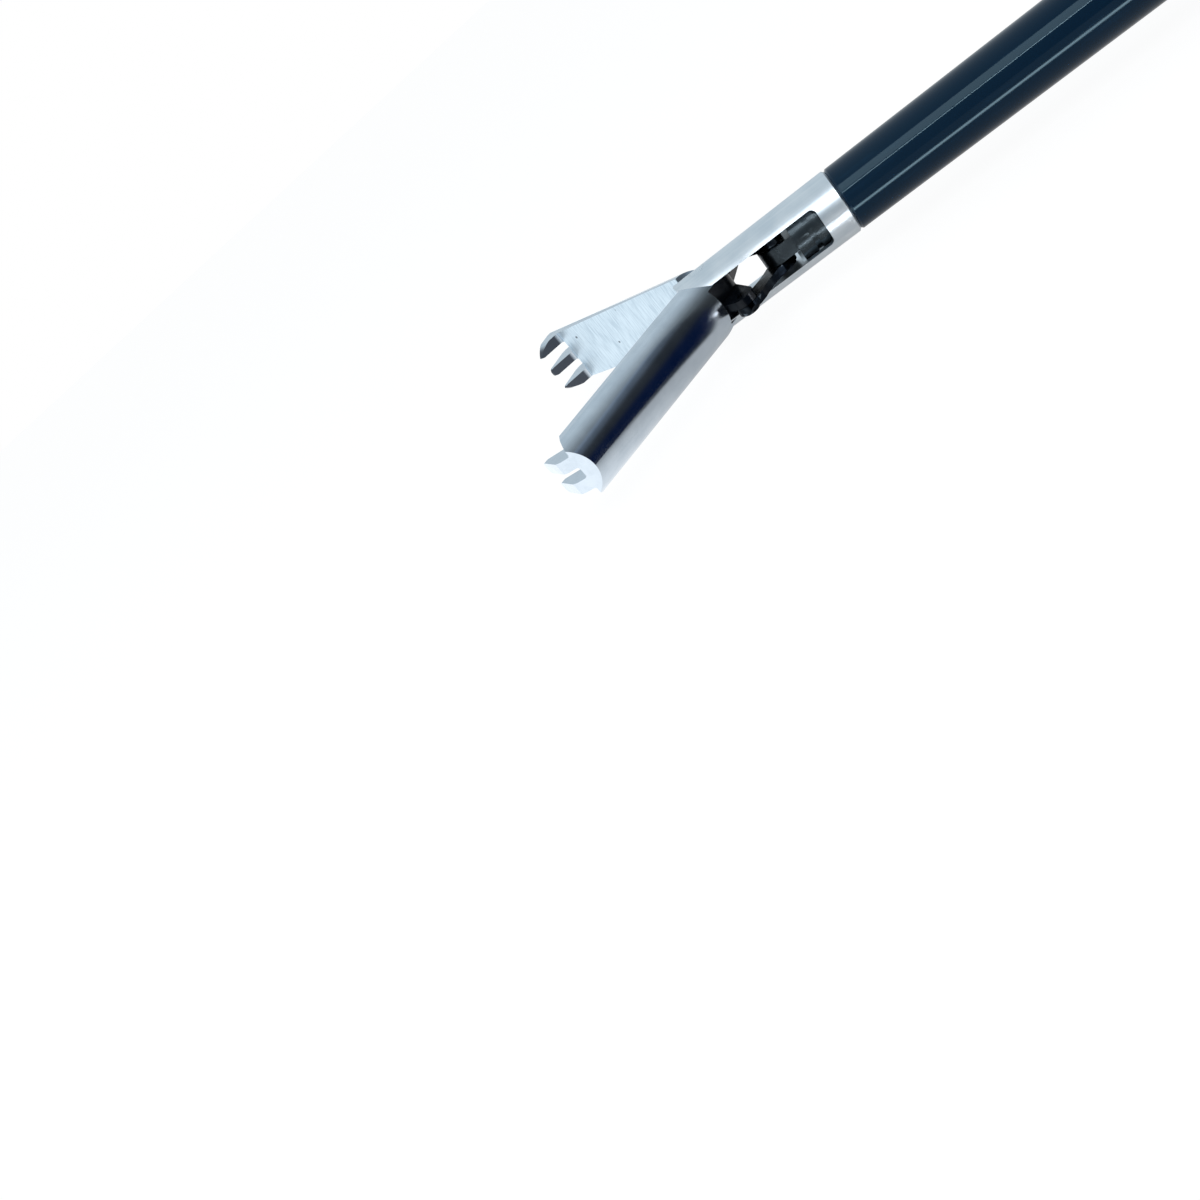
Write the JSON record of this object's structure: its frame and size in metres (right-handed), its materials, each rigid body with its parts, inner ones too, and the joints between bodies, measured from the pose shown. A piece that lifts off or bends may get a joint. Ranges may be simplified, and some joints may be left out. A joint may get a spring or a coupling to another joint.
{
  "type": "laparoscopic grasper",
  "caption": "Claw grasper for keyhole surgery: toothed jaws on a long insulated shaft, rotation knob, flush port and ring handle with a thumb lever.",
  "frame": {"origin": "on the shaft axis, at the rear end of the insulation, just ahead of the flush hub", "axes": "+X along the shaft towards the jaws, +Z along the hinge pins, with the handle towards -Y"},
  "size_m": [0.4581, 0.1275, 0.019],
  "materials": {
    "black_plastic": "fine moulded grain",
    "grey_plastic": "smooth moulded",
    "insulation": "glossy shrunk tube",
    "satin_steel": "satin",
    "polished_steel": "polished, worn",
    "steel": "turned",
    "spring_steel": "drawn",
    "dark_steel": "blackened",
    "plated_brass": "plated",
    "silicone": "matt"
  },
  "bodies": {
    "handle": {"handle_body": "black_plastic", "lever_screw": "steel", "lever_nut": "steel", "hinge_washers": "steel", "hf_pin": "plated_brass", "button_spring": "spring_steel"},
    "shaft": {"shaft_tube": "steel", "shaft_insulation": "insulation", "tip_housing": "satin_steel", "jaw_pivot_pin": "satin_steel", "rod_seal": "silicone", "flush_hub": "steel", "flush_port": "steel", "rotation_knob": "black_plastic", "bearing_sleeve": "steel", "sleeve_o_ring": "silicone"},
    "cap": {"port_cap": "silicone"},
    "rod": {"push_rod": "dark_steel", "rod_end_block": "dark_steel", "rod_pin": "dark_steel", "drive_ball": "steel"},
    "jaw_two": {"jaw_two_tooth": "polished_steel", "tail_pin_two": "dark_steel"},
    "jaw_three": {"jaw_three_tooth": "polished_steel", "tail_pin_three": "dark_steel"},
    "link_two": {"link_two": "dark_steel"},
    "link_three": {"link_three": "dark_steel"},
    "lever": {"thumb_lever": "black_plastic", "lever_bush": "plated_brass"},
    "button": {"release_button": "grey_plastic"}
  },
  "joints": [
    {"name": "lever_swing", "type": "hinge", "parent": "handle", "child": "lever", "pos_m": [-0.0839, -0.017, 0], "axis": [0, 0, 1], "range_deg": [0, 18.47]},
    {"name": "knob_spin", "type": "hinge", "parent": "handle", "child": "shaft", "pos_m": [0, 0, 0], "axis": [1, 0, 0], "continuous": true},
    {"name": "rod_slide", "type": "slide", "parent": "shaft", "child": "rod", "axis": [-1, 0, 0], "range_m": [0, 0.0055]},
    {"name": "jaw_two_hinge", "type": "hinge", "parent": "shaft", "child": "jaw_two", "pos_m": [0.292, 0, 0], "axis": [0, 0, -1], "range_deg": [0, 40.02]},
    {"name": "jaw_three_hinge", "type": "hinge", "parent": "shaft", "child": "jaw_three", "pos_m": [0.292, 0, 0], "axis": [0, 0, 1], "range_deg": [0, 40.02]},
    {"name": "link_two_hinge", "type": "hinge", "parent": "rod", "child": "link_two", "pos_m": [0.28119, 0, 0], "axis": [0, 0, 1], "range_deg": [0, 23.63]},
    {"name": "link_three_hinge", "type": "hinge", "parent": "rod", "child": "link_three", "pos_m": [0.28119, 0, 0], "axis": [0, 0, -1], "range_deg": [0, 23.63]},
    {"name": "button_press", "type": "slide", "parent": "handle", "child": "button", "axis": [0, -1, 0], "range_m": [0, 0.0009], "stiffness_N_per_m": 400, "springref_m": -0.0008, "deforming": ["button_spring"]},
    {"name": "cap_pull", "type": "slide", "parent": "shaft", "child": "cap", "axis": [0, 1, 0], "range_m": [0, 0.012]}
  ],
  "couplings": [
    {"joint": "rod_slide", "follows": "lever_swing", "m_per_rad": 0.017},
    {"joint": "jaw_two_hinge", "follows": "lever_swing", "ratio": 2.1657},
    {"joint": "jaw_three_hinge", "follows": "lever_swing", "ratio": 2.1657},
    {"joint": "link_two_hinge", "follows": "lever_swing", "ratio": 1.2782},
    {"joint": "link_three_hinge", "follows": "lever_swing", "ratio": 1.2782}
  ]
}
